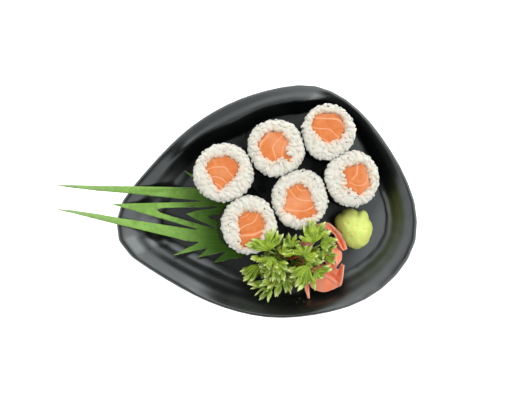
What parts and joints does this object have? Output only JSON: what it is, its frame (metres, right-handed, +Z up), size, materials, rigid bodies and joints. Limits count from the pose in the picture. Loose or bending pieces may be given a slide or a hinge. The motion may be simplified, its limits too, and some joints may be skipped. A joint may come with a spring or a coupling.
{
  "type": "salmon maki sushi roll plate",
  "caption": "Salmon maki rolls standing on a black rippled teardrop plate, with a fold-cut green leaf, parsley, pickled ginger slices and a ball of wasabi.",
  "frame": {"origin": "under the middle of the whole, plate and leaf together, on the surface the plate stands on", "axes": "+X along the plate from its pointed left end, with the leaf's blades, to its broad right end; +Y away from the viewer; +Z up"},
  "size_m": [0.2368, 0.153, 0.0396],
  "materials": {
    "plate": "satin black melamine with low ripples",
    "nori": "dark green-black pressed seaweed, slightly crinkled",
    "rice": "moist cooked rice, soft sheen",
    "salmon": "raw salmon with paler fat lines, moist sheen",
    "leaf": "waxy green leaf with fine veins along it",
    "parsley": "fresh parsley, light edges",
    "ginger": "wet translucent pickled ginger",
    "wasabi": "pale green paste, finely pitted"
  },
  "bodies": {
    "root": {"plate": "plate", "nori_1": "nori", "rice_1": "rice", "salmon_1": "salmon", "nori_2": "nori", "rice_2": "rice", "salmon_2": "salmon", "nori_3": "nori", "rice_3": "rice", "salmon_3": "salmon", "nori_4": "nori", "rice_4": "rice", "salmon_4": "salmon", "nori_5": "nori", "rice_5": "rice", "salmon_5": "salmon", "nori_6": "nori", "rice_6": "rice", "salmon_6": "salmon", "leaf": "leaf", "ginger_1": "ginger", "ginger_2": "ginger", "ginger_3": "ginger", "ginger_4": "ginger", "wasabi": "wasabi", "parsley": "parsley"}
  },
  "joints": []
}
